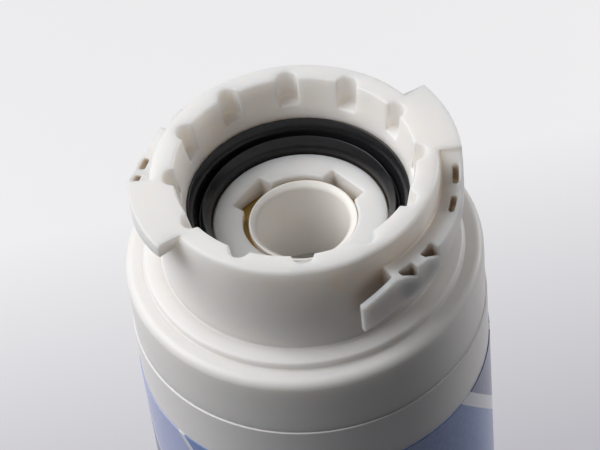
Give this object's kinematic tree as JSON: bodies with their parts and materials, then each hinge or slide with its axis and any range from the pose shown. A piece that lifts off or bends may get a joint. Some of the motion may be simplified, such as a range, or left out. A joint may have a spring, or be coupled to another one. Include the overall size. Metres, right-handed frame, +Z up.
{
  "type": "refrigerator water filter cartridge",
  "caption": "Round water filter cartridge with a welded head: notched neck, ramped bayonet wings, rubber lip seal, central outlet tube and a carbon block inside.",
  "frame": {"origin": "centre of the base, on the surface that the cartridge stands on", "axes": "+Z up the cartridge to the notched rim of the neck; the label's seam is at +Y"},
  "size_m": [0.0704, 0.0704, 0.24],
  "materials": {
    "shell_plastic": "satin moulded polypropylene",
    "head_plastic": "satin moulded polypropylene, slightly translucent",
    "seal_rubber": "smooth black moulded rubber",
    "tube_plastic": "satin moulded polypropylene",
    "hot_melt": "glossy amber hot-melt",
    "core_plastic": "satin moulded polypropylene",
    "pressed_carbon": "matt pressed carbon",
    "nonwoven": "nonwoven polypropylene sheet",
    "label_print": "printed film"
  },
  "bodies": {
    "root": {"canister": "shell_plastic", "head_cap": "head_plastic", "lip_seal": "seal_rubber", "outlet_tube": "tube_plastic", "tube_glue_bead": "hot_melt", "upper_end_cap": "core_plastic", "carbon_block": "pressed_carbon", "prefilter_wrap": "nonwoven", "lower_end_cap": "core_plastic", "label": "label_print"}
  },
  "joints": []
}
